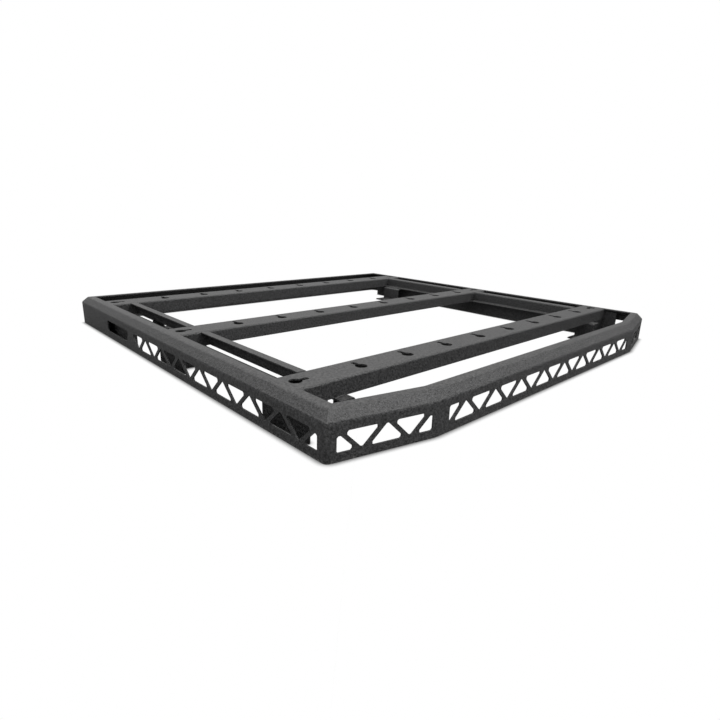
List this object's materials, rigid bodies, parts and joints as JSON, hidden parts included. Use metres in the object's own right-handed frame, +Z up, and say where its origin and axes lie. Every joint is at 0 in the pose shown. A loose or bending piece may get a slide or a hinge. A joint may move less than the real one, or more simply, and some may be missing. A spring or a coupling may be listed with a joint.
{
  "type": "roof rack",
  "caption": "Flat open roof rack of folded black sheet: a truss-cut rim with a slanted lip, keyhole crossbars, side tie rails and bolt-down feet.",
  "frame": {"origin": "on the ground under the middle of the rack's outline", "axes": "+Z up, +X across the rack to its right, +Y from the slanted front to the straight rear"},
  "size_m": [1.25, 1.22, 0.08],
  "materials": {
    "rack_coat": "textured matt black powder coat",
    "foot_coat": "textured matt black powder coat"
  },
  "bodies": {
    "root": {"front_crossbar": "rack_coat", "front_left_end_bracket": "foot_coat", "front_left_foot": "foot_coat", "front_left_rail": "rack_coat", "front_right_end_bracket": "foot_coat", "front_right_foot": "foot_coat", "front_right_rail": "rack_coat", "front_wall": "rack_coat", "left_front_wing": "rack_coat", "left_mount_plate": "rack_coat", "left_side_wall": "rack_coat", "middle_crossbar": "rack_coat", "middle_left_end_bracket": "foot_coat", "middle_right_end_bracket": "foot_coat", "rear_crossbar": "rack_coat", "rear_left_end_bracket": "foot_coat", "rear_left_foot": "foot_coat", "rear_left_rail": "rack_coat", "rear_right_end_bracket": "foot_coat", "rear_right_foot": "foot_coat", "rear_right_rail": "rack_coat", "rear_wall": "rack_coat", "right_front_wing": "rack_coat", "right_mount_plate": "rack_coat", "right_side_wall": "rack_coat"}
  },
  "joints": []
}
